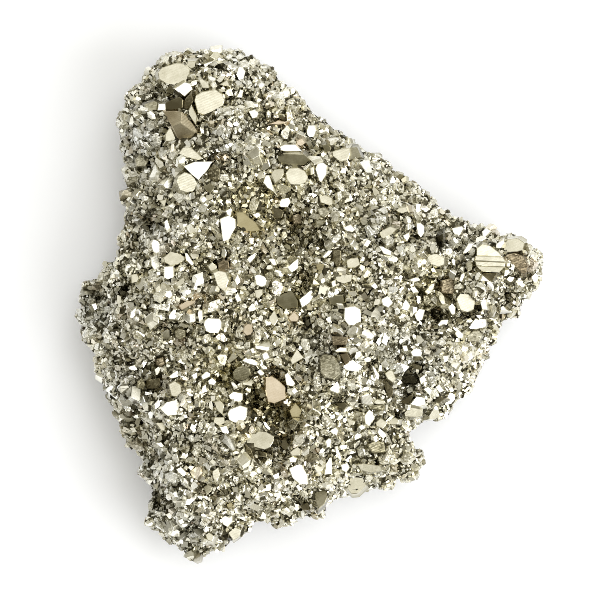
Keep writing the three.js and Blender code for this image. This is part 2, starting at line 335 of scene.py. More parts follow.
# The looks of the larger crystals: how far the upper face leans and towards what heading, in degrees,
# then its tint, from dark tarnish at 0 to bright at 1, its copper blush and its gold.
LOOKS = {
    "white": (13, 42, 1.0, 0.0, 0.0),
    "cream": (1.5, 60, 0.78, 0.0, 0.3),
    "grey": (13, 112, 0.45, 0.0, 0.15),
    "olive": (13, 285, 0.32, 0.0, 0.3),
    "gold": (6, 300, 0.42, 0.1, 0.9),
    "brown": (13, 280, 0.08, 0.18, 0.22),
    "dark": (13, 215, 0.1, 0.05, 0.25),
    # painted shade: this look is a dark crystal sunk into a hole, coloured as the shade in that hole
    "shade_hole": (14, 215, -0.15, 0.0, 0.0),
    "pink": (2, 20, 0.58, 0.42, 0.3),
    "peaked": (0, 0, 0.5, 0.2, 0.35),
}

# The larger crystals, by look, each as the corners of its upper face, in millimetres from the middle of
# the footprint.
LARGE = {
    "cream": [
        [(-26.9, 41.3), (-26.2, 42.1), (-24.6, 42.6), (-23.6, 42.9), (-22.4, 42.8), (-21.3, 41.8),
         (-21.3, 40.6), (-22, 39.7), (-23.8, 39), (-25.2, 39.1), (-26.7, 40.1)],
        [(-20.4, 36.2), (-20.1, 37.1), (-19, 37.7), (-16.7, 38.1), (-15.5, 37.3), (-15.1, 36.3),
         (-15.5, 35.2), (-17.4, 34.1), (-18.7, 33.6), (-19.8, 34)],
        [(-19.6, 39.8), (-18.3, 40.4), (-18, 39.3), (-16.7, 38.4), (-19, 38.4)],
        [(-22.5, 42.9), (-21.9, 43.5), (-20.2, 43.4), (-20.4, 42.3), (-21.1, 42.1)],
        [(-17.2, 42.5), (-16.2, 43.1), (-14.8, 43.1), (-14.5, 41.5), (-15.3, 40.8)],
        [(-16, 39), (-14.6, 39.9), (-14.2, 38.7)],
        [(-21.6, 34), (-20.9, 35.4), (-19.9, 33.3), (-20, 31.6)],
        [(-24.6, 31.7), (-23.4, 29), (-25.5, 29), (-25.5, 30.2)],
        [(-23.5, 21.8), (-23.2, 22.7), (-22, 23.5), (-20.9, 23.1), (-19.9, 21.9), (-19.7, 21),
         (-20.5, 20.1), (-21.7, 19.9), (-22.9, 20.3)],
        [(-23.1, 26.8), (-22.3, 27.8), (-20.9, 27.8), (-18.8, 25.9), (-19.8, 25.6), (-22.3, 26.3)],
        [(-26.5, 18.5), (-25.2, 18.9), (-25.7, 17.3)],
        [(-4.3, 23.4), (-3.7, 24.2), (-2.1, 24.3), (-0.9, 23.7), (-0.4, 22.7), (-0.9, 21.7),
         (-1.9, 21.3), (-3.4, 21.4), (-4.1, 22.3)],
        [(-6.9, 23.1), (-6.3, 24.1), (-4.7, 24.1), (-4.6, 23.3), (-5.2, 22.3), (-6.2, 21.6)],
        [(3.8, 27.5), (5.8, 27.8), (7, 28.1), (7.1, 27.1), (6.6, 25.7), (5.2, 25.5), (4, 26.5)],
        [(1.6, 19.4), (2.6, 19.6), (3.8, 19), (4, 18), (3.4, 17.7), (1.8, 18.2)],
        [(-25.8, 8.5), (-24.6, 9.6), (-23.3, 9.4), (-22.2, 8.7), (-22.1, 8.1), (-23.3, 7.3),
         (-24.6, 7.1), (-25.6, 7.7)],
        [(-31.6, 5.5), (-30.5, 5.7), (-30.1, 4.9), (-30.5, 4.2), (-31.5, 4)],
        [(-27.1, 3.2), (-26.4, 3.8), (-26.1, 3), (-26.4, 2.4), (-27, 2.4)],
        [(-18, 6.9), (-17.3, 7.7), (-16.4, 7.1), (-16.5, 6.3), (-17.5, 6.1)],
        [(-17, 5.8), (-16.1, 6.2), (-14.8, 5.9), (-14.3, 4.6), (-14.7, 3.3), (-15.4, 2.8), (-16.3, 3.6)],
        [(-9.8, 2.8), (-8.3, 3), (-8.3, 2.2), (-9.1, 1.3), (-9.6, 1.6)],
        [(-7.2, -1.9), (-6.3, -0.7), (-5.6, -2.3), (-6.3, -3.5), (-7.3, -2.9)],
        [(-4.2, 8.7), (-3.4, 8.9), (-3.3, 8.1), (-4, 7.9)],
        [(-2.8, 4.2), (-2, 4.8), (-1.3, 4.4), (-1.6, 3.8)],
        [(6.4, 7.9), (7.1, 8.4), (8.4, 8.5), (8.8, 7.3), (7.9, 6.7), (6.5, 6.8)],
        [(4.5, 5.5), (6.1, 5.5), (7.3, 5.5), (7.2, 4.4), (5.9, 4), (4.7, 4.4)],
        [(12.2, 12.8), (12.9, 13.5), (14.1, 14), (15.3, 13.6), (14.6, 12.8), (12.9, 11.8)],
        [(15.2, 16.9), (15.7, 17.4), (17, 17.5), (17.3, 16.7), (16.2, 16.3)],
        [(20.5, 8.5), (21.1, 9.2), (22.3, 9.2), (23.6, 8.5), (23.6, 7.3), (22.5, 6.9), (21.3, 7.3)],
        [(29.3, 8.9), (29.4, 10.2), (30.4, 11), (31.8, 10.6), (33.2, 9.5), (33.9, 8.7)],
        [(29.1, 8.85), (33.9, 8.65), (34.5, 7.9), (34.4, 7.75), (29.1, 8)],
        [(29.1, 7.95), (34.4, 7.7), (34.2, 6.9), (29.3, 7.1)],
        [(29.4, 7.05), (34.1, 6.85), (33.3, 5.9), (30.4, 6.1)],
        [(33.8, 10.1), (34.9, 11.8), (36.7, 12), (37.9, 11.2), (37.6, 9.9), (36.5, 9.6), (34.9, 9.5)],
        [(25.8, 1.3), (26.5, 2.3), (28.1, 2.1), (29.1, 0.9), (28.9, -0.5), (27.7, -1.1), (26.5, -0.7)],
        [(-24.9, -13.8), (-23.8, -13.2), (-22.8, -13.8), (-22.6, -15.2), (-23.4, -16), (-24.4, -15.8)],
        [(-27.3, -20.6), (-25.5, -20.5), (-25.6, -22.1), (-26.3, -21.9)],
        [(-16.9, -16.9), (-15.9, -16.6), (-15.1, -17.3), (-15.4, -19.1), (-16.5, -18.1)],
        [(-16.8, -19.5), (-15.1, -19.5), (-14.9, -20.5), (-16, -21), (-17, -20.5)],
        [(-2.4, -7.6), (-1, -9.1), (-3.2, -10.3), (-3.5, -9.5)],
        [(-11.3, -23.6), (-10.2, -22.4), (-9, -22), (-7.6, -22.2), (-6.4, -22.9), (-6.5, -23.9),
         (-7.1, -24.8), (-8, -25.2), (-9.8, -24.8), (-11.2, -24.1)],
        [(-3.6, -25.7), (-2.2, -24.7), (-1.7, -25.1), (-1.8, -26.3), (-3.2, -26.4)],
        [(13.2, -11.9), (14, -11.2), (14.6, -11.5), (15.1, -12.8), (14.6, -13.5), (13.6, -12.8)],
        [(11.2, -16.9), (11.8, -16.4), (13.2, -16.7), (13, -17.3), (11.6, -17.3)],
        [(11.6, -20.5), (12.4, -19.7), (13.6, -20.6), (12.8, -21.6), (11.8, -21.2)],
        [(13.8, -20.3), (14.9, -19.6), (15.7, -20.1), (15.5, -20.9), (14.2, -20.9)],
        [(16.6, -18.9), (17.5, -17.9), (20, -17.9), (19.8, -19.5), (18.8, -19.7), (16.8, -19.6)],
        [(6.3, -19.7), (7.9, -20.3), (7.7, -21), (6.9, -21)],
        [(8.4, -28), (9.5, -27.8), (12.3, -28.2), (12.8, -29.1), (10.7, -29.5), (9.1, -29)],
        [(7, -30.5), (8.4, -30), (9.5, -30.5), (9.9, -31.8), (8.4, -33.2), (7.4, -33.3), (6.5, -32.3)],
        [(-17.2, -29.1), (-16.2, -28.3), (-15.8, -29.4), (-16.4, -31), (-17.1, -30.2)],
        [(-18.5, -40.4), (-17.9, -39.9), (-16.9, -40.6), (-17.3, -41.6), (-18.1, -41.4)],
        [(-14.6, -40.3), (-13.4, -39.3), (-12.2, -39.7), (-12.6, -41), (-13.6, -41.7)],
    ],
    "white": [
        [(-24, 38.3), (-22.1, 39.4), (-21.1, 39.1), (-20.7, 38.3), (-22.1, 36.8), (-23, 37.5)],
        [(-27.7, 39.1), (-27.1, 39.7), (-26.7, 39.4), (-27.1, 38.9)],
        [(-18.9, 43), (-16.9, 43.5), (-17.6, 42.7), (-18.8, 42.3)],
        [(-12.3, 38.2), (-11.8, 37.9), (-12, 36.7), (-13.1, 36.7)],
        [(-13.6, 40.7), (-13.4, 42.1), (-12.2, 42.4), (-11.5, 41.6), (-11.8, 40.2), (-12.9, 39.8)],
        [(-26.7, 35.6), (-25.5, 35.6), (-25.4, 34.5), (-26.9, 34.4)],
        [(-29.2, 28.9), (-28.4, 29.1), (-27.4, 28.3), (-28.2, 27.9)],
        [(-22.5, 24.5), (-20.2, 25.3), (-17.2, 25.3), (-17.9, 24.1), (-19.6, 21.9), (-20.8, 23.1)],
        [(-26, 21.4), (-24.6, 22.9), (-23.7, 22.3), (-24.3, 20.6), (-25.4, 20.7)],
        [(-25.2, 17.6), (-24.1, 18.3), (-23.6, 17.8), (-24, 17.1)],
        [(-32, 18.6), (-31.1, 19.8), (-30.6, 19.4), (-30.7, 17.8), (-31.3, 18)],
        [(-15.8, 15.3), (-14.3, 15.9), (-13.1, 15.3), (-13.1, 13.7), (-14.2, 11.6), (-15.4, 11.2)],
        [(-25.7, 14.9), (-25.2, 15.3), (-24.4, 13.2), (-25, 12.9), (-25.6, 13.7)],
        [(-10.9, 34.3), (-9.8, 34.6), (-9.2, 34.1), (-9.4, 33.2), (-10.2, 33)],
        [(-0.6, 31.2), (-0.3, 32), (0.7, 32), (1, 31.2), (0.7, 30), (-0.1, 29.8), (-0.6, 30.4)],
        [(-6.6, 27.8), (-4.6, 28.4), (-2.6, 28.4), (-1.5, 27.3), (-4.2, 27.2), (-6.1, 27.4)],
        [(-8.3, 21.8), (-7.8, 23), (-7.1, 23), (-6.6, 21.4), (-6.4, 20.1), (-7.5, 20.8)],
        [(0.9, 24.1), (1.3, 25.1), (2, 25.4), (2.9, 24.7), (2.8, 23.1), (2, 21.7), (1.5, 22)],
        [(-5.6, 17.8), (-5.2, 18.8), (-3.8, 19.1), (-3.4, 18.4), (-3.9, 17.4), (-5.2, 17.4)],
        [(-10.3, 16.1), (-9.1, 16.5), (-8.7, 15.9), (-9.5, 15.4)],
        [(5.8, 13.9), (7.1, 14.3), (7.9, 13.5), (7.5, 13), (6.3, 13.2)],
        [(18.8, 14.6), (19.5, 14.6), (20.1, 14.1), (20.2, 12.8), (19.6, 11.9), (18.9, 12.8)],
        [(25.1, 13.8), (27, 14.1), (27.2, 13.7), (26.6, 12.4), (25.4, 12.9)],
        [(26.9, 9.4), (28, 11), (28.8, 11), (28.5, 9.8), (27.4, 9.2)],
        [(26.2, 4.5), (26.6, 5.5), (27.2, 5.9), (27.3, 5.3), (26.8, 4.2)],
        [(24.9, 8.1), (25.2, 8.5), (25.7, 7.9), (25.6, 7.1), (25.1, 7.3)],
        [(16.3, 12.4), (17.4, 12.9), (17.6, 12.2), (17.1, 11.2)],
        [(32.9, 11), (34.1, 11.7), (34.3, 11.2), (33.7, 10.2), (32.8, 10.2)],
        [(39.2, 5.2), (40, 5.9), (40.5, 5.4), (40.4, 4.5), (39.6, 4.3)],
        [(35.3, 6.4), (35.7, 7.5), (36.2, 7.2), (36, 6.2)],
        [(29.9, 4.4), (30.4, 5.4), (31.5, 4.4)],
        [(-28.1, 8.5), (-27, 8.9), (-26.4, 7.5), (-26.6, 6.6), (-27.4, 6.3), (-28, 7.1)],
        [(-25.6, 6.9), (-24.1, 7), (-23.9, 5), (-25, 4.6), (-25.7, 4.9)],
        [(-22, 9.4), (-21.5, 9.2), (-20.4, 7.4), (-20.8, 7), (-21.8, 8)],
        [(-24.8, -1.5), (-24, -0.5), (-23.2, -0.9), (-23.8, -2.4), (-24.8, -2.3)],
        [(-31.6, -1.1), (-30.7, -0.3), (-30.5, -1.1), (-30.9, -2.3), (-31.8, -2.1)],
        [(-38.9, 0.3), (-38, 0.5), (-37.7, -0.5), (-38.3, -0.9)],
        [(-18.6, -2.6), (-17.9, -2.1), (-16.1, -2.2), (-15.6, -2.8), (-15.6, -3.8), (-16.1, -4.7),
         (-17.5, -4.8), (-18.4, -4.4), (-18.7, -3.5)],
        [(-9.8, 5.4), (-8.9, 5.6), (-7.9, 5.1), (-7.3, 3.9), (-8.5, 3.3), (-9.5, 3.7)],
        [(-7.3, 8.3), (-6.3, 8.3), (-5.9, 7.3), (-6.4, 7.1)],
        [(-11.2, 8.3), (-10.2, 9.2), (-9.5, 8.9), (-10.6, 7.5)],
        [(-13.3, 1.6), (-12.8, 2.4), (-12, 1), (-12.8, 0.6)],
        [(-2, 1.2), (0.7, 3.2), (0.5, 1.6), (-0.1, 0.5), (-1.5, -0.4)],
        [(3.7, 4.2), (4.3, 4.6), (4.6, 3.6), (3.9, 3.3)],
        [(6.1, -0.3), (7.9, -0.1), (8.8, -0.7), (9, -2.7), (7.7, -3.5), (6.7, -3.4), (5.9, -2.3)],
        [(2.1, 8.7), (3.2, 9.8), (4, 9.8), (3.4, 8.9), (2.4, 8.3)],
        [(12, 10.6), (12.9, 10.4), (14.3, 9.6), (14.3, 8.9), (12.9, 9.2)],
        [(10.6, 3.6), (11.4, 4.1), (11.9, 3.4), (11.4, 3)],
        [(12.5, 1.2), (13.7, 1.8), (14.5, 0.6), (13.7, -0.3), (12.7, 0.1)],
        [(15.7, -0.5), (16.8, 1.2), (17.6, 0.1), (17.2, -0.9)],
        [(18.4, -1.5), (19.2, -0.5), (20.2, -0.7), (19.8, -2.5), (18.8, -2.7)],
        [(17.2, 4.6), (19, 5.3), (19.4, 4.6), (18.2, 4.2)],
        [(22.4, -3.3), (23.1, -2.5), (24.3, -2.5), (24.2, -3.4), (22.9, -3.7)],
        [(24.3, -0.1), (25.2, 0.5), (25.8, -0.3), (25.6, -1.5), (25, -1.6)],
        [(27.8, -3.8), (29.3, -2.1), (31.1, -2.4), (31.2, -3.4), (30.4, -4), (28.5, -4.3)],
        [(25.5, -4.8), (26.1, -4.2), (27, -5), (26.9, -5.7), (26, -5.7)],
        [(29.9, 1.2), (31.1, 1.2), (31.3, -0.7), (30.4, -0.7)],
        [(33.6, 0.4), (34.2, 0.1), (34.8, -0.7), (33.8, -0.8)],
        [(-26.3, -18), (-25.2, -16.9), (-22.6, -16.4), (-22.9, -17.7), (-23.2, -19), (-25, -19.3)],
        [(-27.5, -17.3), (-26.7, -16.4), (-25.8, -16.4), (-26.5, -17.8), (-27.3, -18.4)],
        [(-25, -12.4), (-23.4, -11.3), (-23, -12.5), (-24.4, -12.8)],
        [(-20.9, -12.1), (-19.9, -11.6), (-19.8, -12.6), (-20.5, -13)],
        [(-19.2, -12.3), (-18.3, -11.5), (-17.6, -11.7), (-17.6, -12.3), (-18.9, -13)],
        [(-32.2, -10.7), (-30.6, -10.3), (-30.2, -11.1), (-31, -11.5), (-32, -11.2)],
        [(-14.6, -18.9), (-14.1, -18.1), (-12.3, -17.5), (-11.2, -17.9), (-11.2, -19.3), (-11.8, -20.5),
         (-13.3, -20.6), (-14.3, -20.1)],
        [(-14.4, -15.6), (-13.5, -15), (-11.9, -15.4), (-11.9, -16.5), (-12.7, -16.9), (-14.1, -16.4)],
        [(-18, -13.2), (-17.2, -12.6), (-16.5, -13.2), (-17, -13.9), (-17.8, -13.8)],
        [(-4.5, -12.1), (-3.9, -11.7), (-2.6, -13.6), (-3, -14.2), (-4.2, -14)],
        [(-9.4, -11.5), (-8.8, -11), (-8, -11.9), (-8.6, -12.3)],
        [(-12.1, -9.6), (-11.2, -8.9), (-9.2, -9.9), (-9.4, -10.5), (-10.6, -10.2)],
        [(-10.6, -7.6), (-9.8, -7.2), (-9.2, -8), (-10.2, -8.3)],
        [(-8.6, -8.1), (-7.6, -8), (-7.1, -9.1), (-8.2, -9.6)],
        [(-8.4, -20.3), (-7.8, -20.4), (-6.9, -21.6), (-7.2, -22), (-8, -21.4)],
        [(4.3, -7.8), (5.2, -7.2), (6.3, -7.3), (6.4, -8), (4.6, -8.1)],
        [(7.7, -9.1), (8.1, -8), (9.2, -7.8), (8.7, -8.8), (8.2, -9.4)],
        [(9.3, -9.3), (10.1, -8.9), (10.8, -9.1), (10.6, -9.7), (9.7, -9.9)],
        [(10.9, -10.5), (11.3, -10.7), (12.2, -12.1), (12, -13), (11.6, -12.8)],
        [(17.7, -8.1), (18.6, -7.4), (20, -7.8), (19.6, -8.9), (18.1, -8.9)],
        [(16.2, -7), (17, -6.9), (17.3, -7.8), (16.5, -8)],
        [(17.5, -17.4), (18.8, -15.9), (20.2, -16.2), (20.4, -17.4), (19.2, -17.8)],
        [(9.6, -19.3), (10.4, -18.2), (11.4, -19), (11.4, -19.9), (10.4, -21.2), (9.7, -20.8)],
        [(3.5, -14.3), (4.8, -13.2), (5.2, -14.2), (4.9, -15.4), (3.5, -14.9)],
        [(20, -14.6), (20.8, -14.2), (21.6, -14.8), (21.2, -15.8)],
        [(22.1, -14.4), (22.8, -13.8), (23.7, -15), (22.9, -15.4)],
        [(19.3, -12.8), (20.2, -12.1), (20.6, -13.2), (19.6, -14)],
        [(2.5, -17.5), (3.5, -16.7), (3.7, -17.1), (2.9, -18)],
        [(-15.9, -21.2), (-14.7, -21), (-14.1, -22.2), (-14.5, -22.6), (-15.5, -22.2)],
        [(-3.8, -26.8), (-3.2, -26.5), (-2.3, -26.8), (-2.6, -27.5), (-3.6, -27.5)],
        [(-3.8, -28.6), (-2.2, -27.9), (-0.7, -27.6), (-0.5, -29.8), (0.1, -31), (-0.6, -31.5),
         (-1.8, -31.4), (-3.2, -30.2)],
        [(2.1, -29), (2.9, -27.8), (3.1, -26.8), (3.7, -26.8), (3.9, -29.6), (2.5, -29.8)],
        [(5.4, -28), (6.6, -27.7), (7, -28.4), (6.4, -29.4), (5.6, -29)],
        [(4.5, -25.7), (5, -25.3), (5.6, -26.8), (5.4, -27.6), (4.9, -26.8)],
        [(2.7, -23.7), (3.3, -23.2), (3.7, -23.5), (3.5, -24.7), (2.9, -24.9)],
        [(3.3, -22), (4.5, -21.3), (4.9, -21.8), (4.7, -22.8), (3.9, -22.5)],
        [(-15.8, -37.6), (-14.8, -36.8), (-13.8, -37.1), (-13.7, -38.2), (-14.6, -39.2), (-15.6, -38.6)],
        [(-13.6, -35.9), (-12.5, -35), (-12, -35.5), (-12, -37), (-13.3, -36.8)],
        [(-23.6, -28.7), (-22.8, -28.3), (-21.8, -29.3), (-22.2, -30), (-23.2, -29.4)],
        [(-21.6, -28.4), (-21.1, -28), (-20.4, -28.2), (-20.9, -29)],
        [(-24.3, -33), (-23.6, -32.6), (-22.6, -33.4), (-23, -33.9), (-24, -33.7)],
        [(-27.3, -24.2), (-26.3, -24), (-25.6, -24.8), (-26.3, -25)],
        [(-24.8, -38), (-23.8, -37.5), (-23.2, -38.6), (-24.2, -39.2)],
        [(-6.7, -29.8), (-5.5, -29.3), (-5.3, -30.4), (-6.3, -30.6)],
    ],
    "grey": [
        [(-29.2, 35.5), (-27.5, 36.1), (-26.9, 35.8), (-27, 34.5), (-28.7, 34.4)],
        [(-31, 25.9), (-30, 26.9), (-28.8, 26.8), (-28.5, 26), (-29.1, 24.7), (-30.8, 24.8)],
        [(7.2, 27.9), (8.3, 28), (9.1, 26.3), (7.8, 25.9), (6.8, 25.8)],
        [(27.5, 7.5), (28.2, 8), (28.7, 7.3), (28.5, 6.3), (27.8, 6.1)],
        [
            (1.7, -9.1), (2.6, -8.5), (4, -8.7), (5.1, -10.2), (5.3, -12), (4.2, -13), (2.6, -12.5),
            (1.8, -11.4),
        ],
        [(27.6, -5.4), (28.7, -4.5), (29.9, -4.4), (30.4, -5.2), (29.9, -6.2), (27.9, -6.3)],
        [(0.9, -33.2), (2.5, -32.5), (3.1, -33.7), (2.6, -35), (1.5, -36), (1.1, -35)],
        [(-18.7, -31.8), (-17.9, -31.4), (-17.2, -31.8), (-17.4, -32.6), (-18.3, -33.4)],
        [(1.3, 17.1), (2.6, 17.3), (3.5, 16.5), (2.6, 15.5), (1.6, 16.1)],
    ],
    "olive": [
        [(-6.3, 26.9), (-3.8, 26.9), (-1.2, 26.8), (-0.2, 25.9), (-0.7, 24.9), (-2.8, 24.6), (-5.1, 24.6)],
        [(-18.8, 21), (-17.4, 21.5), (-16.8, 20.8), (-17.6, 19.6)],
        [(2.1, 28.4), (3, 28.6), (3.7, 28.1), (3.5, 27.4), (2.5, 27.3)],
        [(-23.8, -4.4), (-23.1, -3.8), (-21.9, -4.2), (-21.9, -5.4), (-22.9, -5.8), (-23.6, -5.4)],
        [(-13.6, -11.7), (-12.9, -10.7), (-11.8, -10.5), (-10.6, -10.9), (-10.5, -11.9), (-11.4, -12.9),
         (-12.7, -13.1), (-13.4, -12.7)],
        [(3.2, 1.4), (4.1, 2), (5.8, 2), (5.9, 0.5), (4.9, 0.1), (3.6, 0.3)],
        [(-6.1, 1.6), (-3.2, 3), (-2.3, 1.2), (-2.2, -0.2), (-4.4, -0.6), (-5.9, 0.5)],
        [(20, 2), (20.9, 1.8), (21.5, 0.8), (20.7, 0.1), (20, 0.8)],
        [(10.1, -24.5), (11.5, -23.7), (13, -24), (13.2, -25.7), (11, -25.9)],
        [(-30.6, -13.4), (-29.6, -12.6), (-29.1, -13.8), (-29.5, -14.8), (-30.6, -14.4)],
        [(10.3, -17.5), (13, -17.5), (13, -18.3), (10.6, -18.2)],
    ],
    "gold": [
        [(-13, 16.5), (-11.8, 16.5), (-9.5, 14.5), (-8.8, 13.3), (-11, 13), (-12.8, 14)],
        [(-3.7, -18.5), (-2.6, -17), (-1.4, -18.5), (-1.8, -19.7), (-3.2, -19.7)],
        [(-14.8, -35.1), (-13.8, -34.7), (-13.6, -35.5), (-14.4, -35.7)],
        [(1, 7.3), (2.4, 7.4), (2.6, 6), (1.5, 5.6)],
    ],
    "brown": [
        [(-16.2, 7.5), (-15.3, 8.1), (-14.3, 7.8), (-14.3, 6.6), (-15.3, 6.2), (-16.1, 6.6)],
        [(34, 9.2), (36.5, 9.4), (37.9, 8.7), (38.5, 7.1), (38.2, 5.9), (37.3, 6), (34.9, 8.2)],
        [(23.2, 4.5), (25, 5), (25.8, 3.5), (25.2, 2.2), (23.2, 2.4)],
        [(3.8, -5.3), (6.7, -5.4), (6.2, -6.7), (4, -6.8)],
        [(5.2, -8.5), (6.5, -8.2), (7.1, -9.3), (6, -9.9)],
        [(-27.1, -9.3), (-25.9, -8.9), (-25.7, -10.3), (-26.5, -10.9), (-27.1, -10.3)],
        [(-3.1, 15.9), (-2.1, 16.3), (-1.3, 15.9), (-1.5, 14.7), (-2.8, 14.5)],
    ],
    "peaked": [
        [(-25.8, 34), (-23.9, 34.3), (-22.3, 34.2), (-21.7, 33.4), (-19.5, 31), (-20.9, 29.5), (-23.3, 29.4),
         (-24.2, 31.2)],
    ],
    "dark": [
        [(-25.3, 35.8), (-23, 36.9), (-22.3, 36.3), (-22.5, 34.7), (-25.2, 34.5)],
        [(-22.1, 36.3), (-20.9, 37.5), (-20.5, 36.2), (-21.3, 34.6), (-22.3, 34.7)],
        [(-17, 25), (-15.8, 24.1), (-16, 22.1), (-17.4, 21.6), (-18.2, 22.5), (-17.8, 23.9)],
        [(-6.6, 17.1), (-5.6, 17.3), (-4.6, 16.7), (-5, 15.5), (-6.2, 15.5), (-6.8, 16.3)],
        [(4.1, 9.8), (5.5, 9.8), (5.3, 7.5), (4.9, 6.3), (4.1, 8.1)],
        [(30.6, 5.8), (33.2, 5.9), (32.2, 4.5), (31.4, 4.6)],
        [(-28.9, -13.2), (-26.5, -12.6), (-26.3, -13.8), (-27.1, -14.6), (-28.9, -14.6)],
        [(-10.2, -25), (-8.8, -25.4), (-7.5, -25.9), (-7.7, -26.6), (-9, -26.4)],
        [(-5.1, -23.7), (-4.1, -23.5), (-3.7, -24.7), (-4.3, -25.5), (-5.1, -24.7)],
        [(-1.4, -26.1), (-0.2, -25.6), (1.5, -25.9), (1.5, -26.8), (0.5, -27.4), (-1.2, -27.2)],
        [(12.4, -12.4), (13.6, -13.2), (14.7, -14.6), (14.6, -15.6), (13.8, -16.1), (13.4, -15)],
        [(17.3, -10.1), (18.5, -10.1), (19.8, -10.5), (19.6, -11.3), (18.5, -11.1)],
        [(16.1, -16.9), (17.7, -15.7), (18.4, -15.9), (17.2, -17.4), (16.7, -17.7)],
        [(4.4, -17.1), (6, -16.9), (6.7, -17.5), (5.8, -18.4)],
        [(21.4, -16.7), (22.9, -15.7), (24, -16.5), (22.8, -17.2)],
        [(-17.9, -33.7), (-17.2, -33.4), (-16.2, -33.7), (-16.8, -34.5)],
        [(-11.6, -24.2), (-10.4, -25), (-9.8, -27), (-11.2, -26)],
        [(-1.6, -35.4), (-0.4, -34.8), (0.1, -35.4), (-0.2, -36.2), (-1.3, -36.1)],
    ],
    # painted shade: dark crystals sunk into holes, coloured as the shade in them
    "shade_hole": [
        [(16, -12.4), (17.3, -12.1), (18.5, -12.4), (19.1, -13), (18.5, -13.7), (16.7, -13.7)],
        [(15, -18.8), (16.1, -18.5), (16, -19), (15.3, -19.1)],
        [(22.3, 12.2), (23.5, 12.9), (23.6, 11.8), (22.9, 10), (22.3, 10.8)],
        [(-15.7, -40.8), (-14.4, -40.4), (-14.4, -41.2), (-15, -41.2)],
    ],
    "pink": [
        [(-7.7, 32), (-5.7, 32.8), (-4.4, 32.5), (-4.6, 32.2), (-6.3, 32)],
        [(-2.4, 29.2), (-1.4, 29.7), (-0.8, 28.8), (-1.6, 28.2), (-2.4, 28.5)],
        [(-23.1, 0.1), (-21.7, 1), (-20.1, 1), (-20.5, 0.4), (-22.5, -0.7)],
        [(-11.6, -3.6), (-11, -3.1), (-10.2, -3.3), (-10, -4.2), (-10.3, -5), (-11.2, -5.2), (-11.7, -4.6)],
        [(-3.9, -2.1), (-2.9, -0.9), (-2, -1.9), (-2.2, -2.7), (-3.4, -2.7)],
        [(-7.9, -12.6), (-6.9, -12.3), (-5.7, -13), (-4.3, -14.4), (-4.4, -16.4), (-6.3, -17.2),
         (-7.5, -16.9), (-7.9, -14.8)],
    ],
}


# How far the upper faces stand above the mass, by look, in millimetres.
RISES = {
    "white": 0.75, "cream": 0.8, "grey": 0.6, "olive": 0.5, "gold": 0.5, "brown": 0.6, "dark": 0.3,
    "shade_hole": -0.4, "pink": 0.7, "peaked": 0.2,
}
WIDER = [  # the wider ones, round which the druse is coarse: [x, y, reach, share]
    (*np.mean(corners, axis=0), math.sqrt(8), 1)
    for outlines in LARGE.values() for corners in outlines if np.ptp(corners, axis=0).max() > 2.5
]


class Druse:
    """Crystals grown on the mass: where they stand, how they are turned, their sizes and finishes."""

    def __init__(self, habits):
        self.habits = habits
        self.rows = []

    def add(self, place, up, spin, size, finish, habit=None):
        """One crystal: its middle, the way its top looks, its spin, its size along three axes, and
        its tint, blush, wear and gold."""
        turn = Vector(UP).rotation_difference(Vector(up)) @ Quaternion(UP, spin)
        if habit is None:
            habit = random.integers(len(self.habits))
        self.rows.append((place, np.array(turn.to_matrix()), size, finish, habit))

    def mesh(self, name):
        """All the crystals as one piece."""
        across = math.ceil(math.sqrt(len(self.rows)))
        points, corners, totals, facets, unwraps, finishes = [], [], [], [], [], []
        placed = 0
        cell = 0
        for index, habit in enumerate(self.habits):
            rows = [row for row in self.rows if row[4] == index]
            if not rows:
                continue
            place, turn, size, finish = (np.array(column) for column in list(zip(*rows))[:4])
            shaped = habit.points[None] * size[:, None]
            shaped = np.einsum("nij,npj->npi", turn, shaped) + place[:, None]
            count, each = shaped.shape[:2]
            points.append(shaped.reshape(-1, 3))
            corners.append((habit.corners[None] + placed + each * np.arange(count)[:, None]).ravel())
            totals.append(np.tile(habit.sizes, count))
            drift = random.uniform(0, 50, (count, 1, 2))
            facets.append(habit.facet[None] * size[:, None, :2].mean(2, keepdims=True) / MM + drift)
            cells = cell + np.arange(count)
            corner = np.stack([cells % across, cells // across], axis=1)[:, None]
            unwraps.append((habit.unwrap[None] + corner) / across)
            finish = np.repeat(finish[:, None], each, axis=1)
            # painted shade: each crystal's tint darkens towards its foot, where it stands among its
            # neighbours
            fall = (habit.points[:, 2].max() - habit.points[:, 2]) * size[:, 2:] / MM
            finish[:, :, 0] -= FOOT_SHADE * np.clip(fall / FOOT_SHADE_DEPTH - 0.15, 0, 1)
            finishes.append(finish.reshape(-1, 4))
            placed += count * each
            cell += count
        return joined_mesh(name, points, corners, totals, facets, unwraps, finishes)


def joined_mesh(name, points, corners, totals, facets, unwraps, finishes):
    """A piece from arrays of points and faces, with its two maps and its crystals' finishes."""
    points, corners, totals = np.concatenate(points), np.concatenate(corners), np.concatenate(totals)
    mesh = bpy.data.meshes.new(name)
    mesh.vertices.add(len(points))
    mesh.vertices.foreach_set("co", points.astype(np.float32).ravel())
    mesh.loops.add(len(corners))
    mesh.loops.foreach_set("vertex_index", corners.astype(np.int32))
    mesh.polygons.add(len(totals))
    mesh.polygons.foreach_set("loop_start", (np.cumsum(totals) - totals).astype(np.int32))
    mesh.update(calc_edges=True)
    mesh.shade_flat()
    for title, layers in (("OFBake", unwraps), ("facet", facets)):
        layer = mesh.uv_layers.new(name=title)
        spots = np.concatenate([spot.reshape(-1, 2) for spot in layers])
        layer.uv.foreach_set("vector", spots.astype(np.float32).ravel())
    grown = mesh.attributes.new("grown", "FLOAT_COLOR", "POINT")
    grown.data.foreach_set("color", np.concatenate(finishes).astype(np.float32).ravel())
    piece = bpy.data.objects.new(name, mesh)
    bpy.context.scene.collection.objects.link(piece)
    belongs(piece)
    return piece


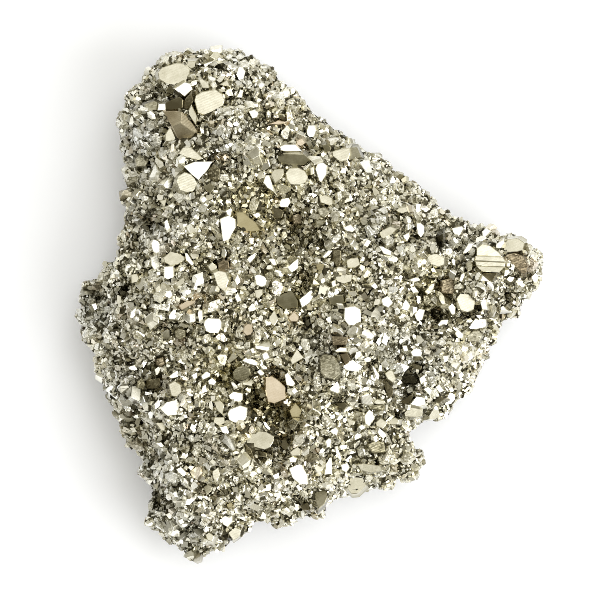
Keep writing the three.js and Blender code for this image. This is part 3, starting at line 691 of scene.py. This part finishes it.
class Crowd:
    """Remembers where crystals stand, so that the next ones find a gap."""

    def __init__(self, cell=1.6 * MM):
        self.cell = cell
        self.cells = {}

    def key(self, place):
        return tuple((place // self.cell).astype(int))

    def free(self, place, reach):
        """True if no crystal's middle is nearer than its reach and this one's together."""
        kx, ky, kz = self.key(place)
        for x in (kx - 1, kx, kx + 1):
            for y in (ky - 1, ky, ky + 1):
                for z in (kz - 1, kz, kz + 1):
                    for other, other_reach in self.cells.get((x, y, z), ()):
                        gap = place - other
                        if gap @ gap < (reach + other_reach) ** 2:
                            return False
        return True

    def take(self, place, reach):
        self.cells.setdefault(self.key(place), []).append((place, reach))


def spots_on(mass, count):
    """Random places on the mass and the way its surface looks there."""
    mesh = mass.data
    mesh.calc_loop_triangles()
    triangles = np.empty(len(mesh.loop_triangles) * 3, np.int32)
    mesh.loop_triangles.foreach_get("vertices", triangles)
    triangles = triangles.reshape(-1, 3)
    places = points_of(mesh)
    normals = np.empty(len(places) * 3, np.float32)
    mesh.vertices.foreach_get("normal", normals)
    normals = normals.reshape(-1, 3).astype(float)
    a, b, c = (places[triangles[:, i]] for i in range(3))
    area = np.linalg.norm(np.cross(b - a, c - a), axis=1)
    chosen = random.choice(len(triangles), count, p=area / area.sum())
    share = random.uniform(0, 1, (count, 2))
    over = share.sum(1) > 1
    share[over] = 1 - share[over]
    weights = np.column_stack([1 - share.sum(1), share])
    spots = np.einsum("nk,nkj->nj", weights, places[triangles[chosen]])
    ways = np.einsum("nk,nkj->nj", weights, normals[triangles[chosen]])
    return spots, ways / np.linalg.norm(ways, axis=1)[:, None]


def leaned(way, most):
    """A direction leaned at random from another by up to most radians."""
    lean = most * math.sqrt(random.uniform())
    turn = random.uniform(0, 2 * math.pi)
    side = Vector(way).orthogonal().normalized()
    side.rotate(Quaternion(Vector(way), turn))
    return Vector(way) * math.cos(lean) + side * math.sin(lean)


def cut_outline(corners, lean, peaked):
    """A crystal whose upper face has these corners, in millimetres, anticlockwise, and leans by a pair
    of slopes. A peaked one has three upper faces instead."""
    cuts = [((-lean[0], -lean[1], 1), 0), (DOWN, 2.4)]
    if peaked:
        cuts[0] = (UP, 0.95)
        cuts += [((0.42 * math.cos(turn), 0.42 * math.sin(turn), 1), 0.85) for turn in (0.5, 2.5, 4.6)]
    for a, b in zip(corners, np.roll(corners, -1, axis=0)):
        along = (b - a) / np.linalg.norm(b - a)
        out = Vector((along[1], -along[0], random.uniform(0.1, 0.35))).normalized()
        cuts.append((out, out.xy.dot(a)))
    bpy.ops.object.select_all(action="DESELECT")
    bpy.ops.mesh.primitive_cube_add(size=9, location=(0, 0, 0))
    crystal = bpy.context.object
    bpy.ops.object.mode_set(mode="EDIT")
    for direction, reach in cuts:
        normal = Vector(direction).normalized()
        bpy.ops.mesh.select_all(action="SELECT")
        bpy.ops.mesh.bisect(plane_co=normal * reach, plane_no=normal, use_fill=True, clear_outer=True)
    bpy.ops.object.mode_set(mode="OBJECT")
    finish_with(crystal, "BEVEL", width=0.1, segments=1, limit_method="ANGLE", angle_limit=0.35)
    return Habit(crystal)


class Perch:
    """Where a larger crystal stands: its outline, in millimetres, and the plane of its upper face."""

    def __init__(self, look, corners, height):
        self.look = look
        self.corners = np.array(corners) * NEARER
        edges = np.roll(self.corners, -1, axis=0) - self.corners
        if np.sum(np.cross(self.corners, self.corners + edges)) < 0:
            self.corners = self.corners[::-1]
            edges = np.roll(self.corners, -1, axis=0) - self.corners
        self.out = np.stack([edges[:, 1], -edges[:, 0]], axis=1) / np.linalg.norm(edges, axis=1)[:, None]
        self.x, self.y = self.corners.mean(axis=0)
        tilt, towards, *self.finish = LOOKS[look]
        slope = math.tan(math.radians(tilt + random.uniform(-2, 2)))
        heading = math.radians(towards + random.uniform(-12, 12))
        self.lean = (-slope * math.cos(heading), -slope * math.sin(heading))
        levels = [height(self.x, self.y)] + [height(*corner) for corner in self.corners]
        levels = [level for level in levels if level is not None]
        self.top = sum(levels) / len(levels) + RISES[look] * MM if levels else None

    def level(self, x, y):
        return self.top + (self.lean[0] * (x - self.x) + self.lean[1] * (y - self.y)) * MM

    def beyond(self, x, y):
        """How far places lie outside the outline, in millimetres: below 0 inside it."""
        gaps = [(x - cx) * ox + (y - cy) * oy for (cx, cy), (ox, oy) in zip(self.corners, self.out)]
        return np.max(gaps, axis=0)


def perches_on(mass):
    """The places of all the larger crystals on the mass."""
    ground = BVHTree.FromObject(mass, bpy.context.evaluated_depsgraph_get())

    def height(x, y):
        over = Vector((centre[0] + x * MM, centre[1] + y * MM, high_corner[2] + 10 * MM))
        spot = ground.ray_cast(over, Vector(DOWN))[0]
        return None if spot is None else spot.z

    perches = [Perch(look, corners, height) for look, outlines in LARGE.items() for corners in outlines]
    return [perch for perch in perches if perch.top is not None]


def grow_large(perches):
    """The larger crystals."""
    druse = Druse([])
    for perch in perches:
        outline = perch.corners - (perch.x, perch.y)
        druse.habits.append(cut_outline(outline, perch.lean, perch.look == "peaked"))
        place = np.array([centre[0] + perch.x * MM, centre[1] + perch.y * MM, perch.top])
        tint, blush, gold = perch.finish
        smooth = perch.look in ("white", "cream", "pink", "gold")
        wear = random.uniform(0.05, 0.45) if smooth else random.uniform(0.3, 0.7)
        finish = (tint + random.uniform(-0.06, 0.06), blush, wear, gold)
        druse.add(place, UP, 0, np.full(3, MM), finish, len(druse.habits) - 1)
    return druse.mesh("large_crystals")


def clear_of(perches, spots, widths, x, y):
    """Which places leave room for the larger crystals."""
    clear = np.ones(len(spots), bool)
    for perch in perches:
        # the druse keeps farther from the dark crystals that paint the shade in holes, so the holes stay open
        margin = 0.7 if perch.look == "shade_hole" else 0.3
        near = perch.beyond(x, y) < margin * widths / MM
        clear &= ~(near & (spots[:, 2] > perch.top - 3 * MM))
    return clear


def grow(name, mass, perches, crowd, tries, sizes, gap, lean, tints, bevel, elsewhere):
    """Crystals of a range of sizes wherever they find a gap, in pieces that aren't too large."""
    druses = [Druse(druse_habits(bevel))]
    spots, ways = spots_on(mass, tries)
    widths = (sizes[0] + (sizes[1] - sizes[0]) * random.uniform(0, 1, tries) ** 1.5) * MM
    steep = ways[:, 2] < STEEP
    widths[steep] *= SHRUNK
    x, y = ((spots - centre) / MM)[:, :2].T
    deep = amount_at(HOLLOWS, x, y)
    allowed = (spots[:, 2] > BARE) & (ways[:, 2] > -0.4) & clear_of(perches, spots, widths, x, y)
    if elsewhere is not None:
        coarse = random.uniform(0, 1, tries) < elsewhere + amount_at(WIDER, x, y)
        allowed &= coarse & (ways[:, 2] > 0.5) & (deep < 0.7)
    # painted light and shade over broad places: it lightens or darkens the tint below, and also leans the
    # crystals
    shade = np.clip(amount_at(PAINTED_LIGHT_AND_SHADE, x, y), -1, 1)
    warm = amount_at(WARMTHS, x, y)
    ways += SHINE_LEAN * shade[:, None] * np.array([math.cos(SHINE_HEADING), math.sin(SHINE_HEADING), 0])
    ways /= np.linalg.norm(ways, axis=1)[:, None]
    creases, painted_top_light, varied = tints
    for i in np.flatnonzero(allowed):
        spot, way, width = spots[i], ways[i], widths[i]
        if not crowd.free(spot, width * gap):
            continue
        crowd.take(spot, width * gap)
        size = width * random.uniform((0.85, 0.6, 0.8), (1.4, 1.0, 1.2))
        place = spot + way * width * random.uniform(SUNK, -0.05 if steep[i] else RAISED)
        # painted light and shade: the tint is lighter on the tops of the clumps, darker in the creases
        # between them and in the hollows, and lighter or darker in the painted broad places; it is also 0.2
        # darker on steep walls
        tint = creases + painted_top_light * mound(spot) - 0.2 * deep[i] + 0.3 * shade[i] - 0.2 * steep[i]
        tint = np.clip(random.normal(tint, varied + 0.1 * steep[i]), 0, 1)
        blush = max(0, random.normal(-0.2, 0.2))
        gold = np.clip(warm[i] * 0.46 + random.normal(0.05, 0.15), -1, 1)
        if len(druses[-1].rows) == PIECE_CRYSTALS:
            druses.append(Druse(druses[0].habits))
        up = leaned(way, WALL_LEAN if steep[i] else lean)
        spin = random.uniform(0, 2 * math.pi)
        druses[-1].add(place, up, spin, size, (tint, blush, random.uniform(), gold))
    return [druse.mesh(f"{name}_{i + 1}") for i, druse in enumerate(druses)]


# ---- finishes -----------------------------------------------------------------------------------

SILVER = (0.955, 0.98, 1.07, 1)
GOLD = (0.52, 0.465, 0.25, 1)
COPPER = (0.72, 0.53, 0.39, 1)
# painted shade: the dark colour of small shaded pits
PIT_SHADE = (0.16, 0.14, 0.08, 1)


class Flow:
    """A value in a material. Arithmetic on it adds Math nodes."""

    def __init__(self, bench, socket):
        self.bench = bench
        self.socket = socket

    def worked(self, operation, *values):
        return self.bench.node("ShaderNodeMath", {"operation": operation}, dict(enumerate(values)))

    def __add__(self, other):
        return self.worked("ADD", self, other)

    def __sub__(self, other):
        return self.worked("SUBTRACT", self, other)

    def __rsub__(self, other):
        return self.worked("SUBTRACT", other, self)

    def __mul__(self, other):
        return self.worked("MULTIPLY", self, other)

    __radd__ = __add__
    __rmul__ = __mul__

    def rise(self, start, end):
        """0 below start, 1 above end, and a smooth rise between."""
        settings = {"interpolation_type": "SMOOTHSTEP"}
        values = {"Value": self, "From Min": start, "From Max": end}
        return self.bench.node("ShaderNodeMapRange", settings, values)


class Bench:
    """Builds a node tree, one node at a time."""

    def __init__(self, tree):
        self.tree = tree
        self.tree.nodes.clear()

    def node(self, kind, settings=None, inputs=None, output=0):
        made = self.tree.nodes.new(kind)
        for name, value in (settings or {}).items():
            if name == "stops":
                self.set_stops(made.color_ramp, value)
            else:
                setattr(made, name, value)
        for name, value in (inputs or {}).items():
            if isinstance(value, Flow):
                self.tree.links.new(value.socket, made.inputs[name])
            else:
                made.inputs[name].default_value = value
        return Flow(self, made.outputs[output]) if made.outputs else None

    @staticmethod
    def set_stops(ramp, stops):
        while len(ramp.elements) < len(stops):
            ramp.elements.new(0.5)
        for element, (position, colour) in zip(ramp.elements, stops):
            element.position = position
            element.color = (*colour, 1)

    def mixed(self, share, first, second, blend="MIX"):
        """A colour between two colours, or the first blended with the second."""
        settings = {"data_type": "RGBA", "blend_type": blend}
        return self.node("ShaderNodeMix", settings, {0: share, 6: first, 7: second}, output=2)


class Finish(Bench):
    """A material that is built node by node."""

    def __init__(self, name):
        self.material = bpy.data.materials.new(name)
        self.material.use_nodes = True
        super().__init__(self.material.node_tree)

    def close(self, shader):
        self.node("ShaderNodeOutputMaterial", None, {"Surface": shader})
        return self.material


def pyrite_finish():
    """Pale brassy metal: tints by crystal, which carry painted light and shade, gold and copper blushes,
    striated and worn faces, and dark specks painted as the shade in small pits.
    """
    make = Finish("pyrite")
    # the tint in grown carries painted light and shade: lighter clump tops, darker creases, hollows and feet,
    # and the painted broad places
    grown = make.node("ShaderNodeAttribute", {"attribute_name": "grown"}, output=0)
    tint, blush, wear = (make.node("ShaderNodeSeparateColor", None, {0: grown}, output=i) for i in range(3))
    gold = make.node("ShaderNodeAttribute", {"attribute_name": "grown"}, output="Alpha")
    place = make.node("ShaderNodeTexCoord", output="Object")
    facet = make.node("ShaderNodeUVMap", {"uv_map": "facet"})

    patches = make.node("ShaderNodeTexNoise", None, {"Vector": place, "Scale": 260, "Detail": 3})
    stains = make.node("ShaderNodeTexNoise", None, {"Vector": place, "Scale": 800, "Detail": 3})
    specks = make.node("ShaderNodeTexNoise", None, {"Vector": place, "Scale": 1300, "Detail": 3})
    grains = make.node("ShaderNodeTexVoronoi", None, {"Vector": place, "Scale": 3000}, output="Color")
    grain = make.node("ShaderNodeSeparateColor", None, {0: grains}, output=0)
    broken = wear.rise(0.35, 0.9)
    tarnish = [
        (0.0, (0.06, 0.054, 0.034)),
        (0.25, (0.23, 0.216, 0.156)),
        (0.5, (0.44, 0.42, 0.334)),
        (0.75, (0.66, 0.641, 0.55)),
        (1.0, (0.88, 0.866, 0.77)),
    ]
    shade = tint + (patches - 0.5) * 0.2 + (stains - 0.5) * 0.5 + (grain - 0.5) * broken * 0.4
    colour = make.node("ShaderNodeValToRGB", {"stops": tarnish}, {"Fac": shade})
    colour = make.mixed(gold * -2, colour, SILVER, "MULTIPLY")
    colour = make.mixed(gold * 0.7, colour, GOLD)
    colour = make.mixed(blush * 0.8, colour, COPPER)
    # painted shade: dark specks on the faces stand for shaded pits
    colour = make.mixed(specks.rise(0.7, 0.76) * 0.5, colour, PIT_SHADE)

    striae = make.node(
        "ShaderNodeTexWave", {"wave_type": "BANDS"},
        {"Vector": facet, "Scale": 2.2, "Distortion": 1.5, "Detail": 2},
    )
    height = striae * 0.5 + patches * 3 + stains * 1.5
    height = height * (0.12 + wear.rise(0.2, 1.0) * 1.6)
    turned = make.node("ShaderNodeVectorMath", {"operation": "SUBTRACT"}, {0: grains, 1: (0.5, 0.5, 0.5)})
    turned = make.node("ShaderNodeVectorMath", {"operation": "SCALE"}, {0: turned, "Scale": broken * 0.5})
    straight = make.node("ShaderNodeNewGeometry", output="Normal")
    turned = make.node("ShaderNodeVectorMath", {"operation": "ADD"}, {0: straight, 1: turned})
    bump = make.node("ShaderNodeBump", None, {
        "Height": height, "Strength": 0.5, "Distance": 0.05 * MM, "Normal": turned,
    })
    shader = make.node("ShaderNodeBsdfPrincipled", None, {
        "Base Color": colour, "Metallic": 1.0, "Roughness": 0.1 + wear * 0.1 + patches * 0.06, "Normal": bump,
    })
    return make.close(shader)


def shaded_matrix_finish():
    """The broken pyrite under the druse: duller and darker, painted as the shade in the gaps between the
    crystals, with a grain of its own.
    """
    make = Finish("matrix")
    place = make.node("ShaderNodeTexCoord", output="Object")
    grain = make.node("ShaderNodeTexVoronoi", None, {"Vector": place, "Scale": 1100}, output="Color")
    grain = make.node("ShaderNodeSeparateColor", None, {0: grain}, output=0)
    patches = make.node("ShaderNodeTexNoise", None, {"Vector": place, "Scale": 150, "Detail": 4})
    # painted shade: dark colours, so the mass seen between the crystals reads as shaded
    stops = [
        (0.0, (0.02, 0.017, 0.009)),
        (0.5, (0.06, 0.053, 0.03)),
        (1.0, (0.2, 0.185, 0.12)),
    ]
    colour = make.node("ShaderNodeValToRGB", {"stops": stops}, {"Fac": grain * 0.6 + patches * 0.4})
    bump = make.node("ShaderNodeBump", None, {"Height": grain, "Strength": 0.8, "Distance": 0.25 * MM})
    shader = make.node("ShaderNodeBsdfPrincipled", None, {
        "Base Color": colour, "Metallic": 0.9, "Roughness": 0.3 + grain * 0.25, "Normal": bump,
    })
    return make.close(shader)


def floor_finish():
    """A white floor, faintly clouded."""
    make = Finish("pale_floor")
    place = make.node("ShaderNodeTexCoord", output="Object")
    cloud = make.node("ShaderNodeTexNoise", None, {"Vector": place, "Scale": 30, "Detail": 2})
    colour = make.mixed(cloud, (0.89, 0.905, 0.95, 1), (0.91, 0.925, 0.97, 1))
    shader = make.node("ShaderNodeBsdfPrincipled", None, {
        "Base Color": colour, "Roughness": 0.8, "Emission Color": (1, 1, 1, 1), "Emission Strength": 0.125,
    })
    return make.close(shader)


# ---- the studio ---------------------------------------------------------------------------------

def make_floor():
    """The floor that the specimen lies on."""
    bpy.ops.object.select_all(action="DESELECT")
    bpy.ops.mesh.primitive_plane_add(size=24, location=(0, 0, low_corner[2]))
    floor = bpy.context.object
    floor.name = "floor"
    floor.data.materials.append(floor_finish())


def soft_box(name, zenith, heading, distance, width, height, watts):
    """A rectangular light that looks at the specimen from an angle off the vertical and a heading."""
    light = bpy.data.lights.new(name, "AREA")
    light.shape = "RECTANGLE"
    light.size = width
    light.size_y = height
    light.energy = watts
    lamp = bpy.data.objects.new(name, light)
    bpy.context.scene.collection.objects.link(lamp)
    back = Vector(direction_of(zenith, heading))
    lamp.location = Vector(centre) + back * distance
    lamp.rotation_euler = back.to_track_quat("Z", "Y").to_euler()


# The glow of the studio round the specimen: [angle off the vertical, heading, angles to the edge of its
# full and of its last light, all in degrees, strength].
GLOWS = [
    (0, 0, 9, 16, 0.6),
    (26, 42, 12, 22, 1.5),
    (50, 78, 14, 22, 1.3),
    (27, 112, 8, 15, 0.25),
    (54, 128, 8, 16, 0.7),
    (54, 300, 12, 22, 1.2),
    (58, 165, 10, 18, 1.1),
    (60, 230, 10, 20, 1.0),
]


def direction_of(zenith, heading):
    zenith, heading = math.radians(zenith), math.radians(heading)
    return (math.sin(zenith) * math.cos(heading), math.sin(zenith) * math.sin(heading), math.cos(zenith))


def light_studio():
    """One soft box from the right, and a dim warm surround with glows in it and a pale horizon."""
    soft_box("key", 52, -21, 0.7, 0.55, 0.55, 3.1)
    world = bpy.data.worlds.new("studio")
    bpy.context.scene.world = world
    world.use_nodes = True
    bench = Bench(world.node_tree)
    direction = bench.node("ShaderNodeTexCoord", output="Generated")
    rise = bench.node("ShaderNodeSeparateXYZ", None, {0: direction}, output="Z")
    towards = {0: direction, 1: (0.85, 0.5, 0)}
    side = bench.node("ShaderNodeVectorMath", {"operation": "DOT_PRODUCT"}, towards, output="Value")
    side = side.rise(-0.5, 0.35)
    glow = 0.42 + side * 0.22 + (1 - rise.rise(0.1, 0.4)) * (0.08 + side * 0.22)
    glow = glow + (1 - rise.rise(0, 0.02)) * 0.8
    for zenith, heading, inner, outer, strength in GLOWS:
        towards = {0: direction, 1: direction_of(zenith, heading)}
        nearness = bench.node("ShaderNodeVectorMath", {"operation": "DOT_PRODUCT"}, towards, output="Value")
        glow = glow + nearness.rise(math.cos(math.radians(outer)), math.cos(math.radians(inner))) * strength
    colour = bench.mixed(glow.rise(0.6, 1.6), (1, 0.965, 0.82, 1), (1, 0.995, 0.97, 1))
    back = bench.node("ShaderNodeBackground", None, {"Color": colour, "Strength": glow})
    bench.node("ShaderNodeOutputWorld", None, {"Surface": back})


VIEW_HEIGHT = 105.6 * MM  # height of the view where it is aimed
AIM = (-1.76, 0.97, 9)  # where that is, in millimetres from the middle of the footprint


def place_camera():
    """Straight above the specimen, with a long lens."""
    camera = bpy.data.cameras.new("camera")
    camera.lens = 400
    camera.sensor_width = 36
    holder = bpy.data.objects.new("camera", camera)
    bpy.context.scene.collection.objects.link(holder)
    distance = camera.lens / camera.sensor_width * VIEW_HEIGHT
    aim_x, aim_y, aim_z = AIM
    holder.location = Vector((centre[0] + aim_x * MM, centre[1] + aim_y * MM, aim_z * MM + distance))
    bpy.context.scene.camera = holder


# ---- making the specimen ------------------------------------------------------------------------

mass = rock_mass()
perches = perches_on(mass)
roughen(mass, perches)
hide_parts(NODE)
belongs(mass)
mass.data.materials.clear()
mass.data.materials.append(shaded_matrix_finish())

crowd = Crowd()
crystals = [grow_large(perches)]
for name, growth in GROWTHS.items():
    crystals += grow(name, mass, perches, crowd, **growth)
pyrite = pyrite_finish()
for piece in crystals:
    piece.data.materials.append(pyrite)

make_floor()
light_studio()
place_camera()
scene = bpy.context.scene
scene.view_settings.view_transform = "Standard"
scene.cycles.filter_width = 0.8
scene.cycles.denoising_prefilter = "NONE"
